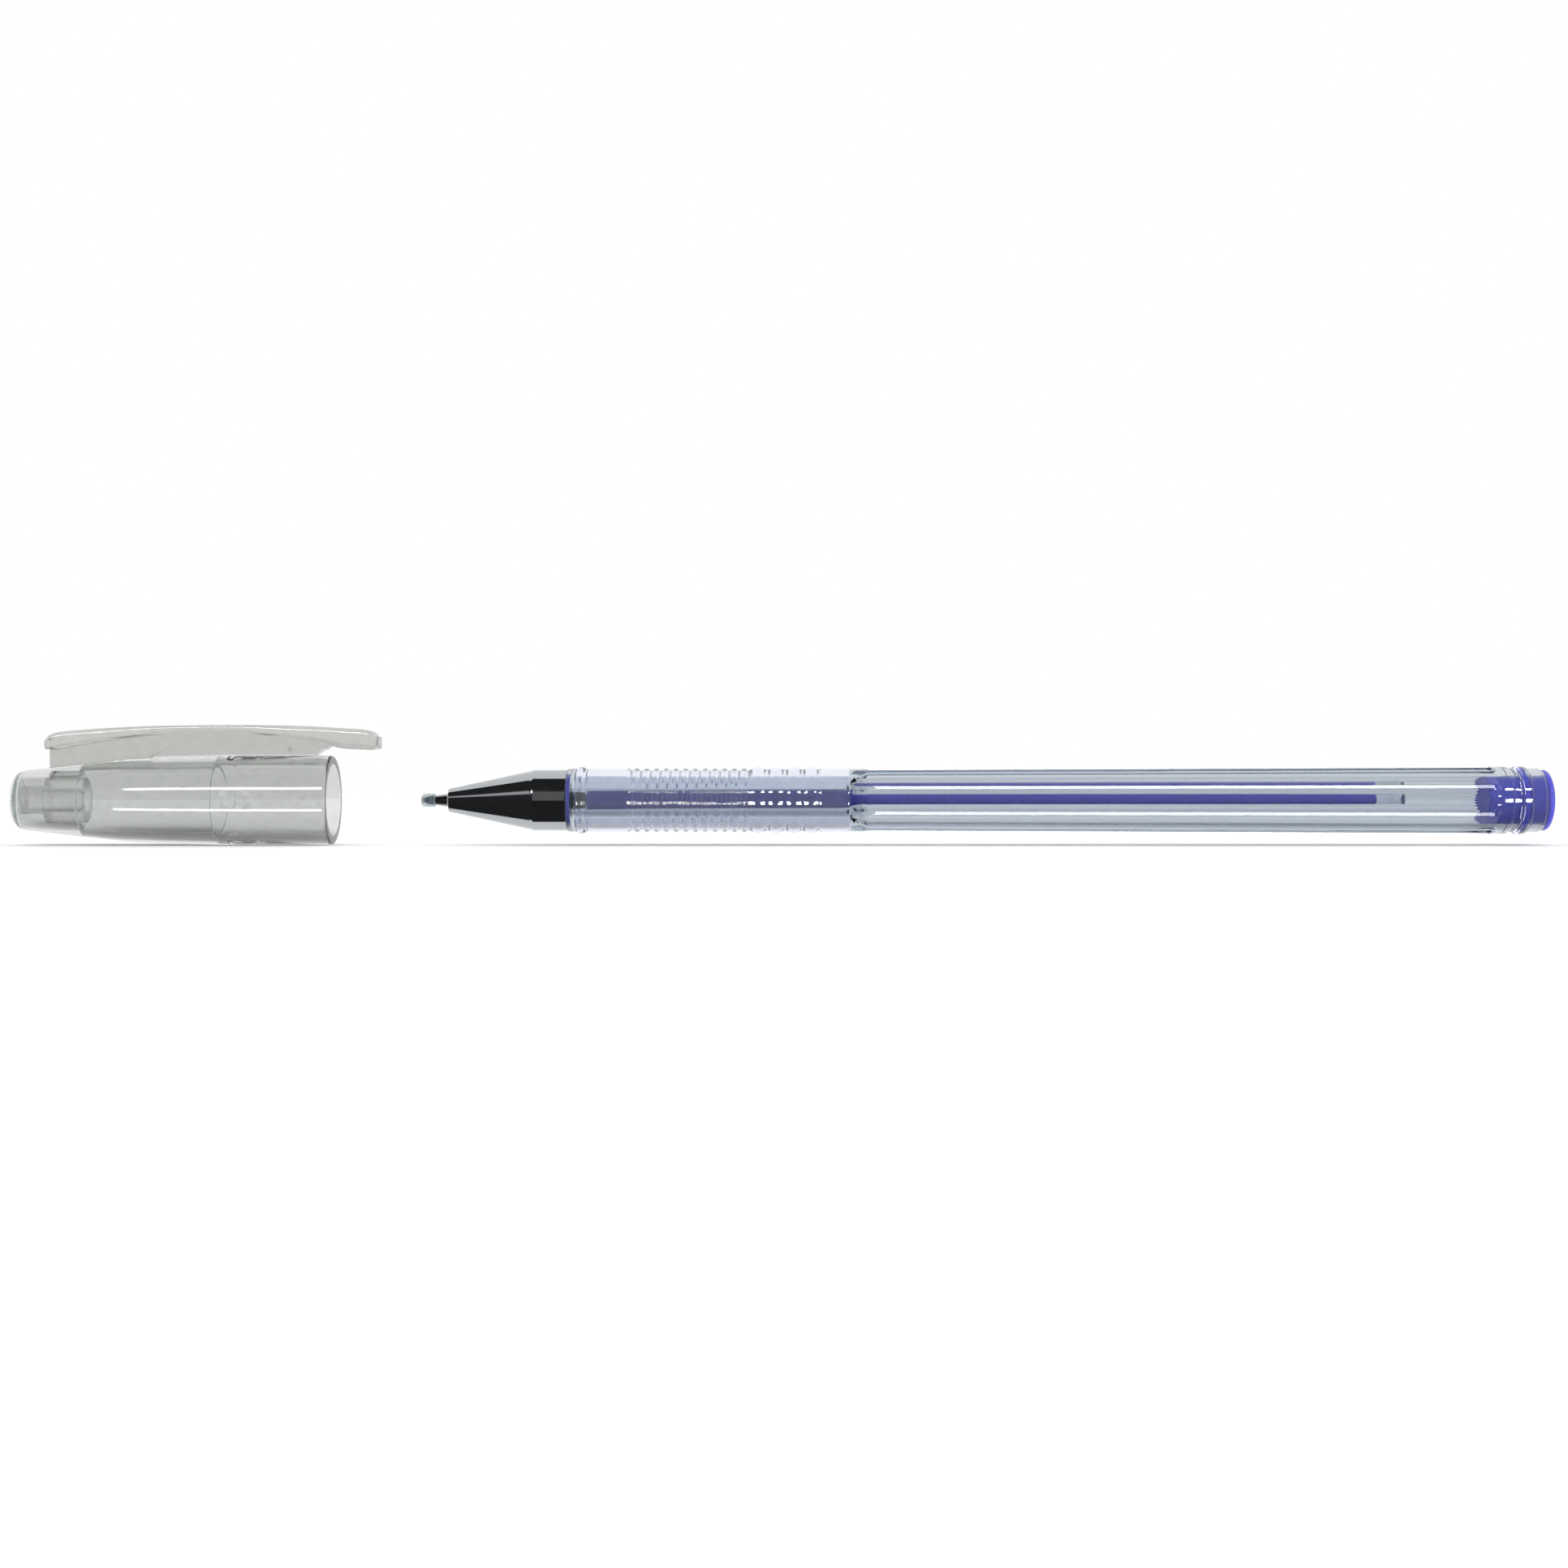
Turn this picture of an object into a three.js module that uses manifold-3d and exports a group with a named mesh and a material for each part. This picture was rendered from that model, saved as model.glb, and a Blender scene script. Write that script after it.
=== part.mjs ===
import * as THREE from "three";
import Module from "manifold-3d";
import { mergeVertices } from "three/addons/utils/BufferGeometryUtils.js";

// A stick gel pen lying along X with its cap drawn off the writing end.
// Millimetres, +Z up. The axis of pen and cap is the X axis until the last step,
// which lifts everything so that the cap's underside is at Z = 0.
// -X is the closed end of the cap, +X is the end plug.

const TAU = 2 * Math.PI;
const ROUND = 32;
const FINE = 24;

// Stations along the pen.
const POINT_X = -44.06;
const NOSE_X = -41.05;
const SHOULDER_X = -30.5;
const COLLAR_X = -26.35;
const GRIP_X = -25.2;
const GRIP_END_X = 8.2;
const FACETS_X = 9.3;
const FACETS_END_X = 87.2;
const REAR_GROOVE_X = 88.9;
const REAR_BEAD_X = 90.1;
const REAR_BEAD_END_X = 91.1;
const BARREL_END_X = 93.3;
const PEN_END_X = 94.2;

// Radii of the pen.
const COLLAR_R = 3.89;
const CORE_R = 2.97;
const GRIP_R = 3.9;
const BEAD_R = 4.08;
const REAR_R = 4.14;
const REAR_GROOVE_R = 3.97;
const FLANGE_SEAT_R = 3.3;
const CHANNEL_R = 1.5;
const CHAMBER_FRONT_R = 2.78;
const CHAMBER_REAR_R = 3.04;
const APOTHEM_FRONT = 3.83;
const APOTHEM_REAR = 4.17;
const FACET_DIP = 0.1;
const RIDGE_BLUNT = 0.04;

// Nose, point and seal bead.
const HOLDER_X = -37;
const HOLDER_END_X = -25.93;
const HOLDER_BORE_R = 1.03;
const POINT_TAIL_X = -24.5;
const INK_WAY_R = 0.4;
const NIB_END_X = -43.5;
const SEAL_X = -44.42;
const SEAL_END_X = -42.75;
const SEAL_R = 0.82;
const SEAL_HOLLOW_X = -44.24;

// End plug.
const PLUG_X = 86;
const STEM_R = 2.97;
const SNAP_RING_R = 3.19;
const SNAP_GROOVE_R = 3.26;
const HEAD_R = 3.75;

// Refill.
const TUBE_X = -24.45;
const TUBE_END_X = 76.4;
const TUBE_R = 1.17;
const TUBE_BORE_R = 0.86;
const INK_X = -23.95;
const INK_END_X = 72.88;
const BALL_R = 0.25;
const BALL_X = -43.95;

// Cap and clip.
const CAP_X = -94.2;
const MOUTH_X = -55.3;
const CAP_R = 5.5;
const MOUTH_BORE_R = 4.45;
const STEP_X = -69.35;
const SEAT_X = -85.9;
const SEAT_R = 2.8;
const LINER_R = 2.74;
const LINER_X = -85.3;
const LINER_BACK_X = -93.15;
const LINER_STEM_R = 1.65;
const LINER_BORE_R = 1.15;
const CLIP_SPLIT_X = -77;
const CLIP_WIDTH = 4;
const CLIP_RIB_WIDTH = 1.9;
const CLIP_TOOTH_WIDTH = 2.5;
const NUB_HEIGHT = 0.25;
const NUB_LENGTH = 0.85;

const wasm = await Module();
wasm.setup();

// Solid of revolution about X. The profile is a list of [x, radius], with the outside
// drawn towards +X. It starts and ends on the axis or closes on itself.
function turned(profile, segments = ROUND) {
  const points = profile.map(([x, radius]) => new THREE.Vector2(radius, x));
  const geometry = new THREE.LatheGeometry(points, segments);
  geometry.rotateZ(-Math.PI / 2);
  return geometry;
}

function closed(profile) {
  return [...profile, profile[0]];
}

// Side outline in X and Z, given a width in Y centred on the axis plane.
function slab(outline, width) {
  const shape = new THREE.Shape(outline.map(([x, z]) => new THREE.Vector2(x, z)));
  const geometry = new THREE.ExtrudeGeometry(shape, { depth: width, bevelEnabled: false });
  geometry.translate(0, 0, -width / 2);
  geometry.rotateX(Math.PI / 2);
  return geometry;
}

function toSolid(geometry) {
  const bare = geometry.clone();
  bare.deleteAttribute("normal");
  bare.deleteAttribute("uv");
  const merged = mergeVertices(bare, 1e-4);
  const corners = merged.index.array;
  const triangles = [];
  for (let i = 0; i < corners.length; i += 3) {
    const [a, b, c] = [corners[i], corners[i + 1], corners[i + 2]];
    if (a !== b && b !== c && c !== a) {
      triangles.push(a, b, c);
    }
  }
  const mesh = new wasm.Mesh({
    numProp: 3,
    vertProperties: new Float32Array(merged.attributes.position.array),
    triVerts: new Uint32Array(triangles),
  });
  return new wasm.Manifold(mesh);
}

function toGeometry(solid) {
  const mesh = solid.getMesh();
  const geometry = new THREE.BufferGeometry();
  geometry.setAttribute("position", new THREE.BufferAttribute(mesh.vertProperties, 3));
  geometry.setIndex(new THREE.BufferAttribute(mesh.triVerts, 1));
  geometry.computeVertexNormals();
  return geometry;
}

// Closed tube through a cycle of stations. Each station is { x, radius(angle) }: the
// outside runs towards +X and the bore comes back.
function lofted(stations, angles) {
  const positions = [];
  for (const { x, radius } of stations) {
    for (const angle of angles) {
      const r = radius(angle);
      positions.push(x, r * Math.cos(angle), r * Math.sin(angle));
    }
  }
  const count = angles.length;
  const index = [];
  for (let s = 0; s < stations.length; s += 1) {
    const here = s * count;
    const next = ((s + 1) % stations.length) * count;
    for (let a = 0; a < count; a += 1) {
      const b = (a + 1) % count;
      index.push(here + a, here + b, next + b);
      index.push(here + a, next + b, next + a);
    }
  }
  const geometry = new THREE.BufferGeometry();
  geometry.setAttribute("position", new THREE.Float32BufferAttribute(positions, 3));
  geometry.setIndex(index);
  geometry.computeVertexNormals();
  return geometry;
}

// ---- Barrel: round under the grip, eight hollow-ground facets behind it ----

const EIGHTH = TAU / 8;
const FACET_ANGLES = [-0.5, -0.42, -0.21, 0, 0.21, 0.42].map((part) => part * EIGHTH);

function barrelAngles() {
  const angles = [];
  for (let facet = 0; facet < 8; facet += 1) {
    for (const offset of FACET_ANGLES) {
      angles.push(facet * EIGHTH + offset);
    }
  }
  return angles;
}

const round = (radius) => () => radius;

// Radius of the faceted section, with each facet dished and each ridge blunted.
function faceted(apothem) {
  return (angle) => {
    const off = angle - Math.round(angle / EIGHTH) * EIGHTH;
    const across = Math.tan(off) / Math.tan(EIGHTH / 2);
    const dished = apothem / Math.cos(off) - FACET_DIP * (1 - across * across);
    return Math.min(dished, apothem / Math.cos(EIGHTH / 2) - RIDGE_BLUNT);
  };
}

// Where the round grip end runs out into the facets: the ridges start first.
function runout(cone, chamfer) {
  const facets = faceted(APOTHEM_FRONT);
  return (angle) => Math.max(cone, Math.min(facets(angle), chamfer));
}

function barrelGeometry() {
  const outside = [
    { x: COLLAR_X, radius: round(COLLAR_R - 0.1) },
    { x: COLLAR_X + 0.1, radius: round(COLLAR_R) },
    { x: GRIP_X - 0.17, radius: round(COLLAR_R) },
    { x: GRIP_X - 0.07, radius: round(COLLAR_R - 0.1) },
    { x: GRIP_X - 0.07, radius: round(CORE_R) },
    { x: GRIP_END_X + 0.05, radius: round(CORE_R) },
    { x: GRIP_END_X + 0.05, radius: round(GRIP_R - 0.05) },
    { x: GRIP_END_X + 0.35, radius: runout(3.82, 3.97) },
    { x: GRIP_END_X + 0.65, radius: runout(3.78, 4.2) },
    { x: FACETS_X, radius: faceted(APOTHEM_FRONT) },
    { x: FACETS_END_X, radius: faceted(APOTHEM_REAR) },
    { x: FACETS_END_X + 0.25, radius: round(REAR_R) },
    { x: REAR_GROOVE_X - 0.1, radius: round(REAR_R) },
    { x: REAR_GROOVE_X, radius: round(REAR_GROOVE_R) },
    { x: REAR_BEAD_X - 0.2, radius: round(REAR_GROOVE_R) },
    { x: REAR_BEAD_X + 0.05, radius: round(REAR_R + 0.02) },
    { x: REAR_BEAD_END_X, radius: round(REAR_R + 0.02) },
    { x: REAR_BEAD_END_X + 0.25, radius: round(3.95) },
    { x: BARREL_END_X - 0.5, radius: round(3.93) },
    { x: BARREL_END_X, radius: round(3.68) },
  ];
  const bore = [
    { x: BARREL_END_X, radius: round(CHAMBER_REAR_R) },
    { x: REAR_BEAD_END_X + 0.3, radius: round(CHAMBER_REAR_R) },
    { x: REAR_BEAD_END_X + 0.2, radius: round(SNAP_GROOVE_R) },
    { x: REAR_BEAD_X + 0.1, radius: round(SNAP_GROOVE_R) },
    { x: REAR_BEAD_X, radius: round(CHAMBER_REAR_R) },
    { x: PLUG_X, radius: round(CHAMBER_REAR_R) },
    { x: FACETS_X + 0.6, radius: round(CHAMBER_FRONT_R) },
    { x: GRIP_END_X - 0.4, radius: round(CHANNEL_R) },
    { x: COLLAR_X + 0.45, radius: round(CHANNEL_R) },
    { x: COLLAR_X + 0.45, radius: round(FLANGE_SEAT_R) },
    { x: COLLAR_X, radius: round(FLANGE_SEAT_R) },
  ];
  return lofted([...outside, ...bore], barrelAngles());
}

// ---- Grip sleeve: front bead, fine ribs, four broad rolls, plain tail ----

const FINE_RIBS = 12;
const FINE_RIBS_X = -18.5;
const FINE_RIBS_END_X = -4.1;
const RIB_VALLEY_R = 3.68;
const RIB_R = 3.93;
const ROLL_STARTS = [-3.95, -1.75, 0.45, 2.55];
const ROLL_LENGTH = 1.95;
const ROLL_VALLEY_R = 3.78;
const ROLL_R = 4.05;

function fineRibs() {
  const pitch = (FINE_RIBS_END_X - FINE_RIBS_X) / FINE_RIBS;
  const points = [];
  for (let rib = 0; rib < FINE_RIBS; rib += 1) {
    const start = FINE_RIBS_X + rib * pitch;
    points.push([start, RIB_VALLEY_R]);
    points.push([start + 0.38 * pitch, RIB_R], [start + 0.62 * pitch, RIB_R]);
  }
  points.push([FINE_RIBS_END_X, RIB_VALLEY_R]);
  return points;
}

function broadRolls() {
  const points = [];
  for (const start of ROLL_STARTS) {
    points.push([start, ROLL_VALLEY_R]);
    points.push([start + 0.18 * ROLL_LENGTH, ROLL_R - 0.08], [start + 0.42 * ROLL_LENGTH, ROLL_R]);
    points.push([start + 0.62 * ROLL_LENGTH, ROLL_R], [start + 0.85 * ROLL_LENGTH, ROLL_R - 0.09]);
    points.push([start + ROLL_LENGTH, ROLL_VALLEY_R]);
  }
  return points;
}

function gripSleeveGeometry() {
  const boreR = CORE_R + 0.07;
  return turned(closed([
    [GRIP_X, boreR],
    [GRIP_X, GRIP_R],
    [GRIP_X + 0.15, BEAD_R - 0.06],
    [GRIP_X + 0.35, BEAD_R],
    [GRIP_X + 0.7, BEAD_R],
    [GRIP_X + 0.95, BEAD_R - 0.1],
    [GRIP_X + 1.2, GRIP_R - 0.08],
    [GRIP_X + 1.6, GRIP_R - 0.08],
    [GRIP_X + 2.5, GRIP_R],
    [FINE_RIBS_X - 0.4, GRIP_R],
    ...fineRibs(),
    ...broadRolls(),
    [GRIP_END_X - 3.45, GRIP_R],
    [GRIP_END_X - 0.3, GRIP_R],
    [GRIP_END_X, GRIP_R - 0.05],
    [GRIP_END_X, boreR],
  ]));
}

// ---- Nose: bright cone, violet holder behind it, steel point and ball ----

function noseConeGeometry() {
  return turned(closed([
    [NOSE_X, 1.05],
    [NOSE_X, 1.36],
    [NOSE_X + 0.06, 1.42],
    [SHOULDER_X - 0.35, 3.63],
    [SHOULDER_X, 3.72],
    [SHOULDER_X + 0.4, 3.75],
    [COLLAR_X - 0.15, 3.75],
    [COLLAR_X - 0.07, 3.68],
    [COLLAR_X - 0.07, 2.75],
    [SHOULDER_X - 1.7, 2.75],
    [NOSE_X + 1.05, 1.05],
  ]));
}

function tipHolderGeometry() {
  return turned(closed([
    [HOLDER_X, HOLDER_BORE_R],
    [HOLDER_X, 1.4],
    [HOLDER_X + 4.4, 2.38],
    [HOLDER_X + 5, 2.65],
    [COLLAR_X - 0.03, 2.65],
    [COLLAR_X - 0.03, FLANGE_SEAT_R - 0.05],
    [HOLDER_END_X, FLANGE_SEAT_R - 0.05],
    [HOLDER_END_X, HOLDER_BORE_R],
  ]));
}

function writingPointGeometry() {
  return turned(closed([
    [POINT_X, 0.245],
    [POINT_X, 0.31],
    [NIB_END_X, 0.5],
    [NIB_END_X + 0.8, 0.6],
    [NOSE_X - 0.15, 0.8],
    [NOSE_X + 0.05, 0.97],
    [HOLDER_END_X + 0.08, 0.98],
    [HOLDER_END_X + 0.08, 1.08],
    [POINT_TAIL_X, 1.08],
    [POINT_TAIL_X, 0.76],
    [POINT_TAIL_X + 0.45, 0.76],
    [POINT_TAIL_X + 0.45, INK_WAY_R],
    [NIB_END_X + 0.4, INK_WAY_R],
    [NIB_END_X + 0.05, 0.15],
    [NIB_END_X - 0.15, 0.15],
    [NIB_END_X - 0.15, BALL_R + 0.02],
    [POINT_X + 0.08, BALL_R + 0.02],
  ]), FINE);
}

function ballGeometry() {
  const geometry = new THREE.SphereGeometry(BALL_R, 12, 8);
  geometry.rotateZ(-Math.PI / 2);
  geometry.translate(BALL_X, 0, 0);
  return geometry;
}

// Clear bead over the nib: rounded in front, a cone-shaped hollow inside.
function tipSealGeometry() {
  return turned([
    [SEAL_X, 0],
    [SEAL_X, SEAL_R - 0.22],
    [SEAL_X + 0.08, SEAL_R - 0.08],
    [SEAL_X + 0.25, SEAL_R],
    [SEAL_END_X, SEAL_R],
    [SEAL_END_X, 0.67],
    [NIB_END_X - 0.02, 0.57],
    [SEAL_HOLLOW_X + 0.16, 0.37],
    [SEAL_HOLLOW_X, 0.3],
    [SEAL_HOLLOW_X, 0],
  ], FINE);
}

// ---- Refill and end plug ----

function refillTubeGeometry() {
  return turned(closed([
    [TUBE_X, TUBE_BORE_R],
    [TUBE_X, TUBE_R],
    [TUBE_END_X, TUBE_R],
    [TUBE_END_X, TUBE_BORE_R],
  ]), FINE);
}

function inkGeometry() {
  const radius = TUBE_BORE_R - 0.03;
  return turned([
    [INK_X, 0],
    [INK_X, radius],
    [INK_END_X, radius],
    [INK_END_X, 0],
  ], FINE);
}

function followerGeometry() {
  const radius = TUBE_BORE_R - 0.03;
  return turned([
    [INK_END_X + 0.02, 0],
    [INK_END_X + 0.02, radius],
    [TUBE_END_X - 0.08, radius],
    [TUBE_END_X - 0.3, 0.5],
    [TUBE_END_X - 0.38, 0],
  ], FINE);
}

function endPlugGeometry() {
  const headX = BARREL_END_X + 0.03;
  return turned([
    [PLUG_X + 0.3, 0],
    [PLUG_X + 0.3, 2],
    [PLUG_X, 2.5],
    [PLUG_X, STEM_R - 0.11],
    [PLUG_X + 0.15, STEM_R],
    [REAR_BEAD_X + 0.2, STEM_R],
    [REAR_BEAD_X + 0.32, SNAP_RING_R],
    [REAR_BEAD_END_X - 0.02, SNAP_RING_R],
    [REAR_BEAD_END_X + 0.1, STEM_R],
    [headX, STEM_R],
    [headX, HEAD_R - 0.03],
    [headX + 0.1, HEAD_R],
    [PEN_END_X - 0.42, HEAD_R - 0.03],
    [PEN_END_X - 0.16, 3.55],
    [PEN_END_X - 0.03, 3.25],
    [PEN_END_X, 2.95],
    [PEN_END_X, 0],
  ]);
}

// ---- Cap: shell with the clip's root, spring arm of the clip, sealing liner ----

function capBodyGeometry() {
  return turned([
    [CAP_X, 0],
    [CAP_X, 2.9],
    [CAP_X + 0.12, 3.25],
    [CAP_X + 0.45, 3.5],
    [CAP_X + 1.5, 3.78],
    [CAP_X + 13.6, 5.12],
    [CAP_X + 19.2, 5.36],
    [CAP_X + 25.6, CAP_R],
    [MOUTH_X - 0.15, CAP_R],
    [MOUTH_X, CAP_R - 0.15],
    [MOUTH_X, MOUTH_BORE_R + 0.1],
    [MOUTH_X - 0.1, MOUTH_BORE_R],
    [STEP_X, MOUTH_BORE_R],
    [STEP_X, 3.99],
    [SEAT_X, 3.75],
    [SEAT_X, SEAT_R],
    [CAP_X + 1, SEAT_R],
    [CAP_X + 1, 0],
  ]);
}

// Side outline of the clip's blade: deep at both ends and waisted between.
const BLADE_OUTLINE = [
  [-90.3, 6.45], [-90.05, 6.22], [-85.6, 7], [-80.4, 7.7], [-74.9, 8.25], [-67.3, 8.35],
  [-61.1, 7.75], [-56.4, 7.1], [-54.4, 6.4], [-52, 6.25], [-49.95, 6.25], [-49.7, 6.5],
  [-49.7, 7.75], [-50.55, 8.55], [-53.5, 8.82], [-58, 9.08], [-64.4, 9.25], [-71, 9.22],
  [-77, 9.12], [-83, 8.85], [-87.5, 8.52], [-89, 8.3], [-89.9, 7.9], [-90.3, 7.4],
];

// Rib under the blade, and the web that carries it down to the shell.
const RIB_OUTLINE = [
  [-89.95, 3.85], [-84, 4.45], [-77.7, 4.95], [-77.05, 5.62], [-60.6, 5.62], [-60, 6.1],
  [-56.2, 6.1], [-55.4, 6.8],
  [-58, 7.9], [-61.1, 8.3], [-67.3, 8.75], [-74.9, 8.6], [-80, 8.2], [-85.6, 7.6], [-89.95, 7.2],
];

// Tooth that presses on the shell near the mouth.
const TOOTH_OUTLINE = [
  [-60.6, 6.5], [-58.9, 5.6], [-57.3, 5.6], [-56.1, 6.5],
];

function clipSolid() {
  const blade = toSolid(slab(BLADE_OUTLINE, CLIP_WIDTH));
  const rib = toSolid(slab(RIB_OUTLINE, CLIP_RIB_WIDTH));
  const tooth = toSolid(slab(TOOTH_OUTLINE, CLIP_TOOTH_WIDTH));
  return blade.add(rib).add(tooth);
}

// Everything on one side of an X plane.
function halfSpace(fromX, toX) {
  const box = new THREE.BoxGeometry(toX - fromX, 40, 40);
  box.translate((fromX + toX) / 2, 0, 0);
  return toSolid(box);
}

// Short arcs on the bore that hold the grip's bead against the step.
function nub(angle) {
  const half = TAU / 20;
  const shape = new THREE.Shape();
  shape.absarc(0, 0, MOUTH_BORE_R + 0.3, -half, half, false);
  shape.absarc(0, 0, MOUTH_BORE_R - NUB_HEIGHT, half, -half, true);
  const options = { depth: NUB_LENGTH, bevelEnabled: false, curveSegments: 6 };
  const geometry = new THREE.ExtrudeGeometry(shape, options);
  geometry.rotateZ(angle);
  geometry.rotateY(Math.PI / 2);
  geometry.translate(STEP_X + 1.2, 0, 0);
  return toSolid(geometry);
}

function capShellGeometry() {
  let shell = toSolid(capBodyGeometry());
  shell = shell.add(clipSolid().intersect(halfSpace(-120, CLIP_SPLIT_X - 0.03)));
  for (let quarter = 0; quarter < 4; quarter += 1) {
    shell = shell.add(nub((quarter * TAU) / 4));
  }
  return toGeometry(shell);
}

function clipArmGeometry() {
  return toGeometry(clipSolid().intersect(halfSpace(CLIP_SPLIT_X + 0.02, 0)));
}

function capLinerGeometry() {
  return turned([
    [LINER_BACK_X, 0],
    [LINER_BACK_X, LINER_STEM_R],
    [LINER_X - 4.8, LINER_STEM_R],
    [LINER_X - 4.8, LINER_R],
    [LINER_X - 0.1, LINER_R],
    [LINER_X, LINER_R - 0.1],
    [LINER_X, 1.38],
    [LINER_X - 0.3, LINER_BORE_R],
    [LINER_BACK_X + 0.4, LINER_BORE_R],
    [LINER_BACK_X + 0.4, 0],
  ]);
}

// ---- Materials and assembly ----

function material(color, roughness, metalness = 0, opacity = 1) {
  return new THREE.MeshStandardMaterial({
    color,
    roughness,
    metalness,
    opacity,
    transparent: opacity < 1,
  });
}

const clearPlastic = () => material(0xc8ced2, 0.08, 0, 0.35);
const softGrip = () => material(0xcdd2d8, 0.35, 0, 0.55);
const frostedPlastic = () => material(0xc4c6c2, 0.5, 0, 0.7);
const refillPlastic = () => material(0xd2d9de, 0.15, 0, 0.35);
const clearGrease = () => material(0xb9c4cd, 0.1, 0, 0.4);
const sealWax = () => material(0xaab2b8, 0.2, 0, 0.6);
const violetPlastic = () => material(0x5354a0, 0.25);
const violetInk = () => material(0x4f4f9e, 0.3);
const chrome = () => material(0xb9bdc0, 0.08, 1);
const steel = () => material(0x96969b, 0.25, 1);

const pen = new THREE.Group();
pen.name = "gel_pen";
pen.position.set(0, 0, CAP_R);

function addPiece(name, geometry, surface) {
  const mesh = new THREE.Mesh(geometry, surface);
  mesh.name = name;
  pen.add(mesh);
}

addPiece("barrel", barrelGeometry(), clearPlastic());
addPiece("grip_sleeve", gripSleeveGeometry(), softGrip());
addPiece("nose_cone", noseConeGeometry(), chrome());
addPiece("tip_holder", tipHolderGeometry(), violetPlastic());
addPiece("writing_point", writingPointGeometry(), steel());
addPiece("ball", ballGeometry(), steel());
addPiece("tip_seal", tipSealGeometry(), sealWax());
addPiece("refill_tube", refillTubeGeometry(), refillPlastic());
addPiece("ink_column", inkGeometry(), violetInk());
addPiece("follower", followerGeometry(), clearGrease());
addPiece("end_plug", endPlugGeometry(), violetPlastic());
addPiece("cap_shell", capShellGeometry(), clearPlastic());
addPiece("clip_arm", clipArmGeometry(), clearPlastic());
addPiece("cap_liner", capLinerGeometry(), frostedPlastic());

export default pen;
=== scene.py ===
import math

import bpy
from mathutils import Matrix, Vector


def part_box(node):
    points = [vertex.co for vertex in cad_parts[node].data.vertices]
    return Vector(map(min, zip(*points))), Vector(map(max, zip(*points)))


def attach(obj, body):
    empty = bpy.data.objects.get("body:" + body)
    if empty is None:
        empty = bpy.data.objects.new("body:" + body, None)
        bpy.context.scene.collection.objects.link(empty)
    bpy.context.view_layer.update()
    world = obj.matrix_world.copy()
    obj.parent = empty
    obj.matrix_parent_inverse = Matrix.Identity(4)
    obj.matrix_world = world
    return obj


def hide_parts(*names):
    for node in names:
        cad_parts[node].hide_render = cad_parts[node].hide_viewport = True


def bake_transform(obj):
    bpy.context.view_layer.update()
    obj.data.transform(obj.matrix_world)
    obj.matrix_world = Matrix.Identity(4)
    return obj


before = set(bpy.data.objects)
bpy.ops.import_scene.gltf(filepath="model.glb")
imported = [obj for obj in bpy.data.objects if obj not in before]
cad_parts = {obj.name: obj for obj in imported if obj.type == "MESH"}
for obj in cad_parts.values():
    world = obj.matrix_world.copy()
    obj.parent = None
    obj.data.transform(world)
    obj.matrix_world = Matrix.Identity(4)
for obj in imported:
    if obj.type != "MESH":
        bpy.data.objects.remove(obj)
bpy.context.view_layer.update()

# A stick gel pen lying along X with its cap drawn off the writing end. Profiles are in
# millimetres: x along the pen and r from its axis. Meshes are made in metres.
MM = 0.001
TAU = 2 * math.pi
EIGHTH = TAU / 8
ROUND = 128
LOFT_SIDES = 160
FILLET_STEPS = 5


def span(node):
    """Front and rear end of a CAD node along the pen, in millimetres."""
    low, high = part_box(node)
    return low.x / MM, high.x / MM


def radius_of(node):
    """Half the width of a round CAD node, in millimetres."""
    low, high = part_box(node)
    return (high.y - low.y) / 2 / MM


AXIS_Z = (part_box("refill_tube")[0].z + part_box("refill_tube")[1].z) / 2 / MM
BARREL_X, BARREL_END_X = span("barrel")
GRIP_X, GRIP_END_X = span("grip_sleeve")
NOSE_X, NOSE_END_X = span("nose_cone")
HOLDER_X, HOLDER_END_X = span("tip_holder")
POINT_X, POINT_END_X = span("writing_point")
SEAL_X, SEAL_END_X = span("tip_seal")
TUBE_X, TUBE_END_X = span("refill_tube")
INK_X, INK_END_X = span("ink_column")
PLUG_X, PEN_END_X = span("end_plug")
CAP_X, MOUTH_X = span("cap_shell")
CLIP_ARM_X = span("clip_arm")[0]
LINER_BACK_X, LINER_X = span("cap_liner")
CAP_R = radius_of("cap_shell")
LINER_R = radius_of("cap_liner")
TUBE_R = radius_of("refill_tube")
TUBE_BORE_R = radius_of("ink_column") + 0.03
SHOULDER_X = NOSE_X + 10.55

# Radii and places of the barrel, as on its CAD node.
COLLAR_R = 3.89
FLANGE_SEAT_R = 3.3
CORE_R = 2.97
REAR_R = 4.14
REAR_BEAD_R = REAR_R + 0.02
REAR_BEAD_X = BARREL_END_X - 3.2
REAR_BEAD_END_X = BARREL_END_X - 2.2
SNAP_GROOVE_R = 3.26
CHANNEL_R = 1.5
CHAMBER_FRONT_R = 2.78
CHAMBER_REAR_R = 3.04
APOTHEM_FRONT = 3.83
APOTHEM_REAR = 4.17
FACET_DIP = 0.1
RIDGE_R = 0.9
FACETS_X = GRIP_END_X + 1.6
FACETS_END_X = BARREL_END_X - 6.1


# ---- Outlines ----

def rounded(points, radius, closed=False):
    """The outline with a curve in place of each corner."""
    count = len(points)
    result = []
    for i, corner in enumerate(points):
        if not closed and i in (0, count - 1):
            result.append(corner)
            continue
        before = points[i - 1]
        after = points[(i + 1) % count]
        reach = min(radius, 0.45 * math.dist(corner, before), 0.45 * math.dist(corner, after))
        start = toward(corner, before, reach)
        end = toward(corner, after, reach)
        for step in range(FILLET_STEPS + 1):
            t = step / FILLET_STEPS
            result.append(tuple(
                (1 - t) ** 2 * a + 2 * t * (1 - t) * c + t * t * b
                for a, c, b in zip(start, corner, end)
            ))
    return guarded(result, radius)


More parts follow.
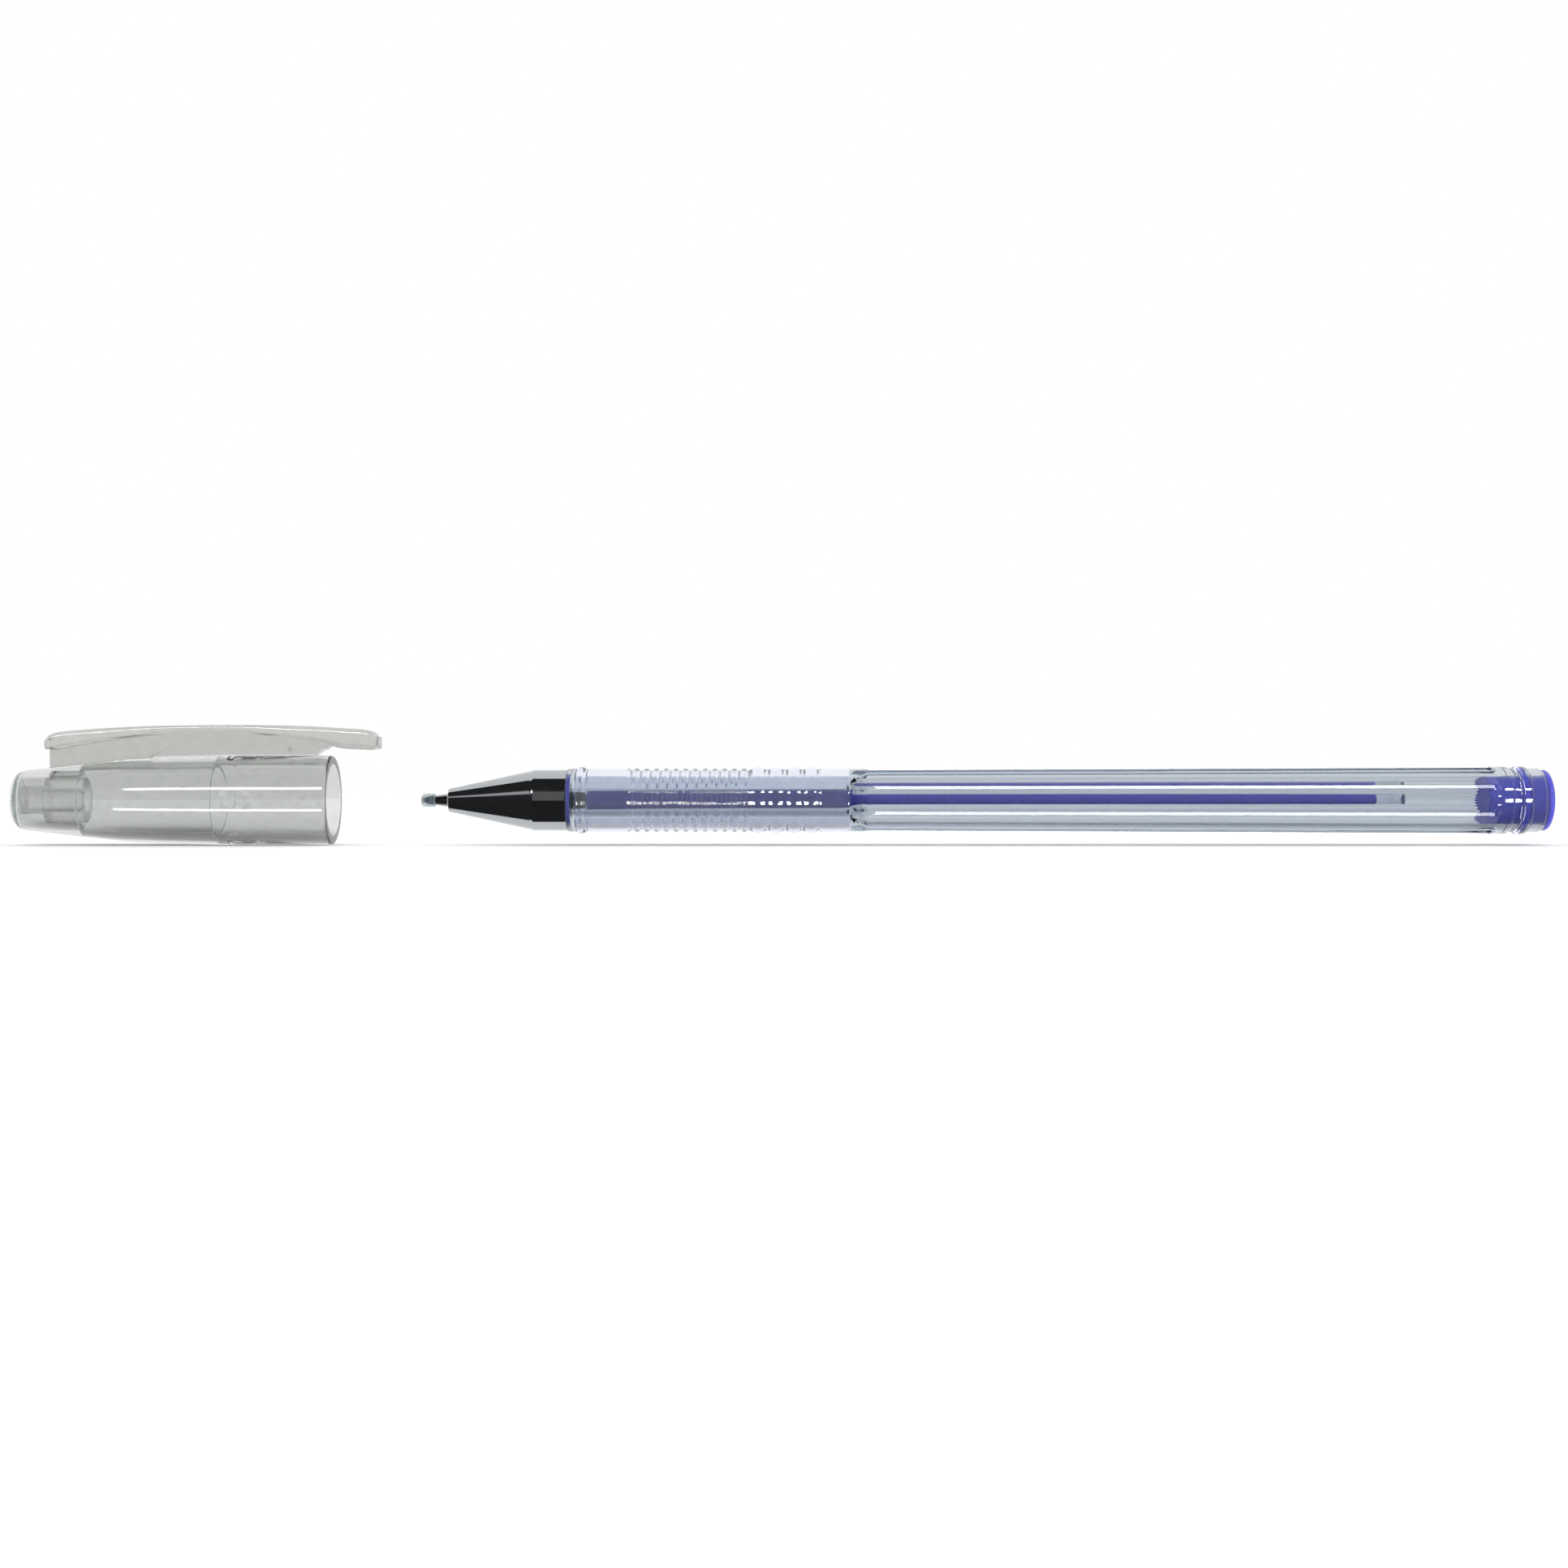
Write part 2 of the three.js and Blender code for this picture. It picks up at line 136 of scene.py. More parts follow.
def guarded(points, radius):
    """The outline with points close to both ends of long straights, which keep them flat
    under smooth shading."""
    result = [points[0]]
    for start, end in zip(points, points[1:]):
        if math.dist(start, end) > 3 * radius:
            result += [toward(start, end, 0.2 * radius), toward(end, start, 0.2 * radius)]
        result.append(end)
    return result


def toward(start, end, distance):
    """The point at a distance from start on the way to end."""
    part = distance / max(math.dist(start, end), 1e-9)
    return tuple(a + (b - a) * part for a, b in zip(start, end))


def smooth_step(x, start, end):
    """0 before start, 1 after end and an S between them."""
    t = min(max((x - start) / (end - start), 0), 1)
    return t * t * (3 - 2 * t)


def along(points, x):
    """Height at x of a smooth curve through points given in order of x."""
    if x <= points[0][0]:
        return points[0][1]
    for i in range(len(points) - 1):
        (x0, z0), (x1, z1) = points[i], points[i + 1]
        if x <= x1:
            before = points[max(i - 1, 0)]
            after = points[min(i + 2, len(points) - 1)]
            slope0 = (z1 - before[1]) / (x1 - before[0])
            slope1 = (after[1] - z0) / (after[0] - x0)
            width = x1 - x0
            t = (x - x0) / width
            rise = (3 - 2 * t) * t * t
            lead = t * (1 - t) ** 2 * width * slope0
            tail = t * t * (1 - t) * width * slope1
            return z0 + (z1 - z0) * rise + lead - tail
    return points[-1][1]


# ---- Meshes ----

def piece(name, vertices, faces, sharp=35):
    """A smooth-shaded mesh object from vertices in millimetres about the pen's axis."""
    mesh = bpy.data.meshes.new(name)
    mesh.from_pydata([(x * MM, y * MM, (z + AXIS_Z) * MM) for x, y, z in vertices], [], faces)
    mesh.validate()
    mesh.polygons.foreach_set("use_smooth", [True] * len(mesh.polygons))
    mesh.set_sharp_from_angle(angle=math.radians(sharp))
    made = bpy.data.objects.new(name, mesh)
    bpy.context.scene.collection.objects.link(made)
    return made


def ring_faces(rings, closed):
    """Quads and fans between rings of vertex numbers. A ring of one vertex is a pole."""
    faces = []
    last = len(rings) if closed else len(rings) - 1
    for i in range(last):
        here = rings[i]
        following = rings[(i + 1) % len(rings)]
        count = max(len(here), len(following))
        for a in range(count):
            b = (a + 1) % count
            if len(here) == 1:
                faces.append((here[0], following[b], following[a]))
            elif len(following) == 1:
                faces.append((here[a], here[b], following[0]))
            else:
                faces.append((here[a], here[b], following[b], following[a]))
    return faces


def lofted(name, stations, angles, closed=True, sharp=35, lift=None):
    """A body of rings about the axis. Each station is (x, radius), and either may be a
    number or a function of the angle. The outside runs towards +X. A lift raises the
    middle of each ring by a function of x."""
    vertices = []
    rings = []
    for x, radius in stations:
        start = len(vertices)
        middle = lift(x) if lift else 0
        if not callable(radius) and radius < 1e-6:
            vertices.append((x, 0, middle))
            rings.append([start])
            continue
        for angle in angles:
            r = radius(angle) if callable(radius) else radius
            along_x = x(angle) if callable(x) else x
            vertices.append((along_x, r * math.cos(angle), middle + r * math.sin(angle)))
        rings.append(list(range(start, start + len(angles))))
    return piece(name, vertices, ring_faces(rings, closed), sharp)


def turned(name, profile, closed=True, segments=ROUND, sharp=35, lift=None):
    """A solid of revolution about the pen's axis."""
    angles = [TAU * i / segments for i in range(segments)]
    return lofted(name, profile, angles, closed, sharp, lift)


# ---- Materials ----

def surface(name, colour, roughness, grain=900, spread=0.04, bump=0.04, stretch=1, **sockets):
    """A Principled material whose colour and gloss wander a little over a moulded grain.
    A stretch below 1 draws the grain out along the pen."""
    material = bpy.data.materials.new(name)
    material.use_nodes = True
    nodes = material.node_tree.nodes
    links = material.node_tree.links
    shader = nodes["Principled BSDF"]
    place = nodes.new("ShaderNodeTexCoord")
    noise = nodes.new("ShaderNodeTexNoise")
    noise.inputs["Scale"].default_value = grain
    noise.inputs["Detail"].default_value = 3
    flow = nodes.new("ShaderNodeMapping")
    flow.inputs["Scale"].default_value = (stretch, 1, 1)
    links.new(place.outputs["Object"], flow.inputs["Vector"])
    links.new(flow.outputs["Vector"], noise.inputs["Vector"])
    ramp = nodes.new("ShaderNodeValToRGB")
    ramp.color_ramp.elements[0].position = 0.3
    ramp.color_ramp.elements[1].position = 0.7
    ramp.color_ramp.elements[0].color = (*[c * (1 - spread) for c in colour], 1)
    ramp.color_ramp.elements[1].color = (*[min(c * (1 + spread), 1) for c in colour], 1)
    links.new(noise.outputs["Fac"], ramp.inputs["Fac"])
    links.new(ramp.outputs["Color"], shader.inputs["Base Color"])
    gloss = nodes.new("ShaderNodeMapRange")
    gloss.inputs["To Min"].default_value = roughness * 0.7
    gloss.inputs["To Max"].default_value = roughness * 1.3
    links.new(noise.outputs["Fac"], gloss.inputs["Value"])
    links.new(gloss.outputs["Result"], shader.inputs["Roughness"])
    relief = nodes.new("ShaderNodeBump")
    relief.inputs["Strength"].default_value = bump
    relief.inputs["Distance"].default_value = 0.02 * MM
    links.new(noise.outputs["Fac"], relief.inputs["Height"])
    links.new(relief.outputs["Normal"], shader.inputs["Normal"])
    for socket, value in sockets.items():
        shader.inputs[socket.replace("_", " ")].default_value = value
    return material


def clear(name, colour, roughness, ior=1.5, gloss=0.2, soaked=None, **options):
    """A clear plastic or gel. A low gloss keeps the inner walls from veiling what is inside.
    Soaked is the light that it takes up over each metre of depth, by channel."""
    material = surface(
        name, colour, roughness,
        Transmission_Weight=1.0, IOR=ior, Specular_IOR_Level=gloss, **options,
    )
    if soaked:
        nodes = material.node_tree.nodes
        depth = nodes.new("ShaderNodeVolumeAbsorption")
        density = max(soaked) * 1.1
        depth.inputs["Density"].default_value = density
        depth.inputs["Color"].default_value = (*[1 - amount / density for amount in soaked], 1)
        material.node_tree.links.new(depth.outputs["Volume"], nodes["Material Output"].inputs["Volume"])
    return material


def barrel_plastic():
    return clear(
        "barrel_plastic", (0.68, 0.715, 0.755), 0.015, gloss=0.1,
        grain=1400, bump=0.25, stretch=0.02, soaked=(42, 34, 27),
    )


def cap_plastic():
    return clear("cap_plastic", (0.72, 0.73, 0.72), 0.03, gloss=0.5, soaked=(14, 12, 12))


def clip_plastic():
    return clear("clip_plastic", (0.54, 0.55, 0.53), 0.03, gloss=0.5, soaked=(12, 11, 12))


def grip_rubber():
    return clear("grip_rubber", (0.9, 0.92, 0.975), 0.02, ior=1.45, gloss=0.08, soaked=(36, 28, 10))


def refill_plastic():
    return clear("refill_plastic", (0.9, 0.92, 0.94), 0.03)


def clear_grease():
    return clear("clear_grease", (0.9, 0.93, 0.96), 0.05, ior=1.47)


def seal_wax():
    return clear("seal_wax", (0.5, 0.55, 0.58), 0.1, gloss=0.5)


def liner_plastic():
    return clear("liner_plastic", (0.98, 0.985, 0.97), 0.3, ior=1.3, gloss=0.5)


def violet_ink():
    return surface("violet_ink", (0.14, 0.13, 1.0), 0.3, grain=2500, spread=0.06)


def violet_plastic():
    return surface("violet_plastic", (0.11, 0.11, 0.68), 0.2, grain=1500, spread=0.05)


def stem_front_painted_light():
    """Painted light: a paler copy of the violet plastic for the stem's front end, which faces down the
    barrel's dim inside.
    """
    return surface("stem_front_painted_light", (0.17, 0.17, 0.8), 0.5)


def chrome():
    return surface("chrome", (0.46, 0.48, 0.5), 0.08, grain=700, spread=0.02, Metallic=1.0)


def steel():
    return surface("steel", (0.4, 0.4, 0.42), 0.2, grain=2500, spread=0.1, Metallic=1.0)


# Painted shade: a near-black steel that stands for the shade on the point's end inside the pen.
def painted_shade_steel():
    return surface("painted_shade_steel", (0.03, 0.03, 0.035), 0.35, grain=2500, spread=0.3, Metallic=0.6)


# ---- Barrel: round under the grip, eight hollow-ground facets behind it ----

FACET_OFFSETS = (0, 0.08, 0.17, 0.26, 0.32, 0.37, 0.4, 0.425, 0.45, 0.475, 0.5)


def barrel_angles():
    """Angles of one ring, closer together near the ridges."""
    sides = [-part for part in reversed(FACET_OFFSETS[1:-1])] + list(FACET_OFFSETS)
    return [(facet + part) * EIGHTH for facet in range(8) for part in sides]


def faceted(apothem, angle):
    """Radius of the faceted section: dished flats joined by round ridges."""
    half = EIGHTH / 2
    off = abs(angle - round(angle / EIGHTH) * EIGHTH)
    flat_end = (apothem - RIDGE_R) * math.tan(half)
    across = apothem * math.tan(off) / flat_end
    if across < 1:
        return apothem / math.cos(off) - FACET_DIP * (1 - across * across) ** 2
    centre = (apothem - RIDGE_R) / math.cos(half)
    aside = centre * math.sin(half - off)
    return centre * math.cos(half - off) + math.sqrt(RIDGE_R ** 2 - aside ** 2)


def facets_at(x):
    """Radius by angle of the tapered faceted stretch."""
    part = (x - FACETS_X) / (FACETS_END_X - FACETS_X)
    apothem = APOTHEM_FRONT + (APOTHEM_REAR - APOTHEM_FRONT) * part
    return lambda angle: faceted(apothem, angle)


def runout_at(x):
    """Radius where the round grip end runs out into the facets: the ridges start first."""
    part = (x - GRIP_END_X) / (FACETS_X - GRIP_END_X)
    cone = 3.86 - 0.16 * part
    chamfer = 3.86 + 0.5 * part
    facets = facets_at(x)
    return lambda angle: max(cone, min(facets(angle), chamfer))


def rear_blend_at(x):
    """Radius where the facets turn into the round rear end."""
    part = smooth_step(x, FACETS_END_X - 0.7, FACETS_END_X + 0.5)
    facets = facets_at(FACETS_END_X)
    return lambda angle: facets(angle) * (1 - part) + REAR_R * part


def evenly(function, start, end, steps):
    """Stations at equal steps of x."""
    places = [start + (end - start) * i / steps for i in range(steps + 1)]
    return [(x, function(x)) for x in places]


def make_barrel(plastic):
    front = rounded([
        (BARREL_X, FLANGE_SEAT_R),
        (BARREL_X, COLLAR_R),
        (GRIP_X - 0.07, COLLAR_R),
        (GRIP_X - 0.07, CORE_R),
        (GRIP_END_X + 0.05, CORE_R),
        (GRIP_END_X + 0.05, 3.84),
    ], 0.12)
    rear = rounded([
        (FACETS_END_X + 0.6, REAR_R),
        (REAR_BEAD_X - 1.25, REAR_R),
        (REAR_BEAD_X - 1.15, 3.97),
        (REAR_BEAD_X - 0.2, 3.97),
        (REAR_BEAD_X + 0.02, REAR_BEAD_R),
        (REAR_BEAD_END_X + 0.02, REAR_BEAD_R),
        (REAR_BEAD_END_X + 0.25, 3.95),
        (BARREL_END_X - 0.5, 3.93),
        (BARREL_END_X, 3.68),
        (BARREL_END_X, CHAMBER_REAR_R),
        (REAR_BEAD_END_X + 0.3, CHAMBER_REAR_R),
        (REAR_BEAD_END_X + 0.2, SNAP_GROOVE_R),
        (REAR_BEAD_X + 0.1, SNAP_GROOVE_R),
        (REAR_BEAD_X, CHAMBER_REAR_R),
        (PLUG_X, CHAMBER_REAR_R),
        (FACETS_X + 0.6, CHAMBER_FRONT_R),
        (GRIP_END_X - 0.4, CHANNEL_R),
        (BARREL_X + 0.45, CHANNEL_R),
        (BARREL_X + 0.45, FLANGE_SEAT_R),
        (BARREL_X, FLANGE_SEAT_R),
    ], 0.1)
    stations = [
        *front,
        *evenly(runout_at, GRIP_END_X + 0.1, FACETS_X, 12),
        *evenly(facets_at, FACETS_X + 0.2, FACETS_END_X - 0.8, 12),
        *evenly(rear_blend_at, FACETS_END_X - 0.7, FACETS_END_X + 0.5, 8),
        *rear[:-1],
    ]
    barrel = lofted("clear_barrel", stations, barrel_angles(), sharp=28)
    finish(barrel, plastic, "pen", "barrel")


# ---- Grip sleeve: front bead, fine ribs, four broad rolls, plain tail ----

FINE_RIBS = 12
FINE_RIBS_X = GRIP_X + 6.7
FINE_RIBS_END_X = GRIP_X + 21.1
ROLL_STARTS = [GRIP_X + start for start in (21.25, 23.45, 25.65, 27.75)]
ROLL_LENGTH = 1.95
GRIP_R = 3.9
NECK_R = 3.82
BEAD_R = 4.08
RIB_VALLEY_R = 3.68
RIB_R = 3.93
ROLL_VALLEY_R = 3.78
ROLL_R = 4.06


def swell(start, length, low, high, sharpness, steps=12):
    """A crest between two valleys. A higher sharpness makes the crest narrower."""
    points = []
    for i in range(steps):
        t = i / steps
        lift = (0.5 - 0.5 * math.cos(TAU * t)) ** sharpness
        points.append((start + length * t, low + (high - low) * lift))
    return points


def make_grip(rubber):
    bore = CORE_R + 0.07
    pitch = (FINE_RIBS_END_X - FINE_RIBS_X) / FINE_RIBS
    rolls_end = ROLL_STARTS[-1] + ROLL_LENGTH
    profile = rounded([
        (GRIP_X, bore),
        (GRIP_X, BEAD_R - 0.12),
        (GRIP_X + 0.3, BEAD_R),
        (GRIP_X + 0.8, BEAD_R),
        (GRIP_X + 1.15, NECK_R),
        (GRIP_X + 1.7, NECK_R),
        (GRIP_X + 2.5, GRIP_R),
        (FINE_RIBS_X - 0.4, GRIP_R),
        (FINE_RIBS_X, RIB_VALLEY_R),
    ], 0.25)[:-1]
    for rib in range(FINE_RIBS):
        profile += swell(FINE_RIBS_X + rib * pitch, pitch, RIB_VALLEY_R, RIB_R, 1.0)
    profile.append((FINE_RIBS_END_X, RIB_VALLEY_R + 0.02))
    for start in ROLL_STARTS:
        profile += swell(start, ROLL_LENGTH, ROLL_VALLEY_R, ROLL_R, 0.6)
    profile += rounded([
        (rolls_end, ROLL_VALLEY_R),
        (rolls_end + 0.25, GRIP_R),
        (GRIP_END_X - 0.2, GRIP_R),
        (GRIP_END_X, GRIP_R - 0.07),
        (GRIP_END_X, bore),
    ], 0.15)
    sleeve = turned("soft_grip_sleeve", profile, sharp=50)
    finish(sleeve, rubber, "pen", "grip_sleeve")


# ---- Nose: bright cone, violet holder behind it, steel point, ball and seal ----

CONE_BORE_R = 2.75
HOLDER_BORE_R = 1.03
FLANGE_R = 3.25
INK_WAY_R = 0.4


def make_nose_cone(metal):
    profile = rounded([
        (NOSE_X, 1.05),
        (NOSE_X, 1.42),
        (SHOULDER_X - 0.35, 3.63),
        (SHOULDER_X, 3.74),
        (NOSE_END_X, 3.75),
        (NOSE_END_X, CONE_BORE_R),
        (NOSE_END_X - 5.78, CONE_BORE_R),
        (NOSE_X + 1.05, 1.05),
    ], 0.08, closed=True)
    cone = turned("chrome_nose_cone", profile)
    finish(cone, metal, "pen", "nose_cone")


def make_tip_holder(violet):
    flange_x = HOLDER_END_X - 0.45
    profile = rounded([
        (HOLDER_X, HOLDER_BORE_R),
        (HOLDER_X, 1.4),
        (HOLDER_X + 4.4, 2.38),
        (HOLDER_X + 5, 2.65),
        (flange_x, 2.65),
        (flange_x, FLANGE_R),
        (HOLDER_END_X, FLANGE_R),
        (HOLDER_END_X, HOLDER_BORE_R),
    ], 0.08, closed=True)
    holder = turned("violet_tip_holder", profile)
    finish(holder, violet, "pen", "tip_holder")


def make_point(metal, shade):
    """The writing point. Its end inside the pen gets a near-black steel: painted shade for the dark
    inside of the pen.
    """
    neck_x = POINT_END_X - 0.45
    profile = rounded([
        (POINT_X, 0.25),
        (POINT_X, 0.31),
        (POINT_X + 0.56, 0.5),
        (POINT_X + 1.36, 0.6),
        (POINT_X + 2.86, 0.8),
        (POINT_X + 3.06, 0.97),
        (neck_x - 1.35, 0.98),
        (neck_x - 1.35, 1.08),
        (neck_x, 1.08),
        (neck_x, 0.76),
        (POINT_END_X, 0.76),
        (POINT_END_X, INK_WAY_R),
        (POINT_X + 0.96, INK_WAY_R),
        (POINT_X + 0.6, 0.15),
        (POINT_X + 0.41, 0.15),
        (POINT_X + 0.41, 0.27),
        (POINT_X + 0.08, 0.27),
    ], 0.02, closed=True)
    point = turned("steel_point", profile, segments=64)
    finish(point, metal, "pen", "writing_point")
    point.data.materials.append(shade)
    # Faces behind the holder get the near-black steel as painted shade.
    for face in point.data.polygons:
        if face.center.x > HOLDER_END_X * MM:
            face.material_index = 1


def make_ball(metal):
    front, rear = span("ball")
    centre = (front + rear) / 2
    radius = (rear - front) / 2
    steps = 24
    profile = [
        (centre - radius * math.cos(math.pi * i / steps), radius * math.sin(math.pi * i / steps))
        for i in range(steps + 1)
    ]
    profile[0] = (front, 0)
    profile[-1] = (rear, 0)
    ball = turned("writing_ball", profile, closed=False, segments=48)
    finish(ball, metal, "rolling_ball", "ball")


def make_seal(wax):
    outside = 0.82
    hollow_x = SEAL_X + 0.18
    profile = rounded([
        (SEAL_X, 0),
        (SEAL_X, outside - 0.2),
        (SEAL_X + 0.25, outside),
        (SEAL_END_X, outside),
        (SEAL_END_X, 0.66),
        (hollow_x + 0.72, 0.56),
        (hollow_x + 0.16, 0.37),
        (hollow_x, 0.3),
        (hollow_x, 0),
    ], 0.12)
    seal = turned("tip_seal_bead", profile, closed=False, segments=64)
    finish(seal, wax, "seal_bead", "tip_seal")


# ---- Refill: thin tube, ink and the clear grease that follows it ----

# Ink and grease wet the tube: they reach this far into its wall, which shows them at full
# width. The bow is the refill's rise above the axis.
CONTACT = 0.008
BOW = 0.25
BOW_LENGTH = 22


def bowed(x):
    """The slim refill springs up a little behind its held front end."""
    return BOW * (1 - math.exp(-max(x - TUBE_X, 0) / BOW_LENGTH))


def long_walled(profile, step=4):
    """The profile with extra points along its long straight stretches, so that it can bow."""
    result = []
    for point, following in zip(profile, profile[1:] + profile[:1]):
        result.append(point)
        length = following[0] - point[0]
        parts = int(abs(length) / step)
        for i in range(1, parts):
            t = i / parts
            result.append((point[0] + length * t, point[1] + (following[1] - point[1]) * t))
    return result


def make_refill_tube(plastic):
    profile = rounded([
        (TUBE_X, TUBE_BORE_R),
        (TUBE_X, TUBE_R),
        (TUBE_END_X, TUBE_R),
        (TUBE_END_X, TUBE_BORE_R),
    ], 0.06, closed=True)
    tube = turned("refill_tube_wall", long_walled(profile), lift=bowed)
    finish(tube, plastic, "pen", "refill_tube")


def make_ink(ink):
    wetted = TUBE_BORE_R + CONTACT
    profile = rounded([(INK_X, 0), (INK_X, wetted), (INK_END_X, wetted), (INK_END_X, 0)], 0.04)
    column = turned("gel_ink", long_walled(profile), closed=False, lift=bowed)
    finish(column, ink, "pen", "ink_column")


def make_follower(grease):
    front, rear = span("follower")
    wetted = TUBE_BORE_R + CONTACT
    meniscus = [(rear - 0.42 * (1 - (step / 8) ** 2), wetted * step / 8) for step in range(7, -1, -1)]
    profile = [(front, 0), (front, wetted), (rear, wetted), *meniscus]
    follower = turned("grease_follower", profile, closed=False, lift=bowed)
    finish(follower, grease, "pen", "follower")


# ---- End plug: hollow stem with a snap ring inside the barrel, rounded head outside ----

STEM_TEETH = 20
TOOTH_DEPTH = 0.45
STEM_R = 2.97
SNAP_R = SNAP_GROOVE_R + CONTACT
HEAD_R = 3.75


def toothed(angle):
    """Front edge of the stem, cut into small teeth that grip the bore."""
    phase = (angle / TAU * STEM_TEETH) % 1
    return PLUG_X + TOOTH_DEPTH * (1 - abs(2 * phase - 1))


def make_end_plug(violet, front_painted_light):
    head_x = BARREL_END_X + 0.03
    rim_r = STEM_R - 0.12
    front = [(PLUG_X + 0.25, 0), (PLUG_X + 0.2, 2.5), (toothed, rim_r), (toothed, STEM_R)]
    body = rounded([
        (PLUG_X + 0.8, STEM_R),
        (REAR_BEAD_X + 0.2, STEM_R),
        (REAR_BEAD_X + 0.32, SNAP_R),
        (REAR_BEAD_END_X - 0.02, SNAP_R),
        (REAR_BEAD_END_X + 0.1, STEM_R),
        (head_x, STEM_R),
        (head_x, HEAD_R),
        (PEN_END_X - 0.3, HEAD_R - 0.01),
        (PEN_END_X, 3.1),
        (PEN_END_X, 0),
    ], 0.25)
    angles = [TAU * i / LOFT_SIDES for i in range(LOFT_SIDES)]
    plug = lofted("violet_end_plug", front + body, angles, closed=False)
    finish(plug, violet, "pen", "end_plug")
    plug.data.materials.append(front_painted_light)
    # Faces of the stem's front end get the paler violet as painted light.
    for face in plug.data.polygons:
        from_axis = math.hypot(face.center.y, face.center.z - AXIS_Z * MM)
        if face.center.x < (PLUG_X + TOOTH_DEPTH) * MM and from_axis < (STEM_R - 0.05) * MM:
            face.material_index = 1


# ---- Cap: shell, clip, sealing liner ----

SHELL_OUTSIDE = [
    (CAP_X, 0),
    (CAP_X, 2.9),
    (CAP_X + 0.12, 3.25),
    (CAP_X + 0.45, 3.5),
    (CAP_X + 1.5, 3.78),
    (CAP_X + 13.6, 5.12),
    (CAP_X + 19.2, 5.36),
    (CAP_X + 25.6, CAP_R),
    (MOUTH_X, CAP_R),
]
MOUTH_BORE_R = 4.45
STEP_X = MOUTH_X - 14.05
SEAT_X = LINER_X - 0.6
SEAT_R = 2.8
NUB_X = (STEP_X + 1.1, STEP_X + 2.15)
NUB_HEIGHT = 0.25
NUB_HALF_ANGLE = TAU / 20


def nubbed(x):
    """Bore radius by angle across the four short pads that hold the grip's bead."""
    middle = (NUB_X[0] + NUB_X[1]) / 2
    rise = 1 - smooth_step(abs(x - middle), 0.15, middle - NUB_X[0])

    def radius(angle):
        off = abs(angle - round(angle / (TAU / 4)) * TAU / 4)
        lift = 1 - smooth_step(off, NUB_HALF_ANGLE * 0.4, NUB_HALF_ANGLE)
        return MOUTH_BORE_R - NUB_HEIGHT * lift * rise

    return radius


def make_cap_shell(plastic):
    outside = rounded(SHELL_OUTSIDE + [(MOUTH_X, MOUTH_BORE_R)], 0.35)
    mouth_bore = [(MOUTH_X - 0.15, MOUTH_BORE_R), *evenly(nubbed, NUB_X[1], NUB_X[0], 12)]
    inside = rounded([
        (STEP_X + 0.3, MOUTH_BORE_R),
        (STEP_X, MOUTH_BORE_R),
        (STEP_X, 3.99),
        (SEAT_X, 3.75),
        (SEAT_X, SEAT_R),
        (CAP_X + 1, SEAT_R),
        (CAP_X + 1, 0),
    ], 0.12)
    angles = [TAU * i / LOFT_SIDES for i in range(LOFT_SIDES)]
    shell = lofted("clear_cap_shell", outside + mouth_bore + inside, angles, closed=False, sharp=30)
    finish(shell, plastic, "cap", "cap_shell")


# Side outlines of the clip. The blade is deep at both ends and waisted between.
BLADE_TOP = [
    (-90.3, 7.4), (-89.9, 7.95), (-89, 8.32), (-87.5, 8.52), (-83, 8.85), (-77, 9.12), (-71, 9.21),
    (-64.4, 9.23), (-58, 9.08), (-53.5, 8.82), (-50.6, 8.55), (-49.7, 7.8),
]
BLADE_UNDERSIDE = [
    (-90.3, 6.5), (-90.05, 6.24), (-89, 6.36), (-85.6, 7), (-80.4, 7.7), (-74.9, 8.25),
    (-67.3, 8.35), (-61.1, 7.75), (-56.4, 7.1), (-54.4, 6.45), (-52, 6.27), (-49.95, 6.27),
    (-49.7, 6.5),
]
BLADE_HALF_WIDTH = 2
EDGE_ROUNDING = 0.6
RIB_HALF_WIDTH = 0.95
RIB_UNDERSIDE = 6.1
RIB_END_UNDERSIDE = 6.8
FLANGE_HALF_WIDTH = 0.6
FLANGE_GAP = 0.05
RIB_END_X = (-56.2, -55.4)
WEB_X = -89.95
WEB_END_X = (-77.7, -76.5)
# Height of a step that only keeps a section's points apart.
SLIVER = 0.01
TOOTH_HALF_WIDTH = 1.25
TOOTH_TOP = 6.5
CLIP_STEPS = 120
HINGE_REACH = 1.5
TOOTH = [(-60.6, 6.45), (-58.9, 5.6), (-57.3, 5.6), (-56.1, 6.45)]


def straight(points, x):
    """Height at x on straight lines between points given in order of x."""
    for (x0, z0), (x1, z1) in zip(points, points[1:]):
        if x0 <= x <= x1:
            return z0 + (z1 - z0) * (x - x0) / (x1 - x0)
    return points[0][1] if x < points[0][0] else points[-1][1]


def share(x, start, end):
    """How far x is from start to end, from 0 to 1."""
    return min(max((x - start) / (end - start), 0), 1)


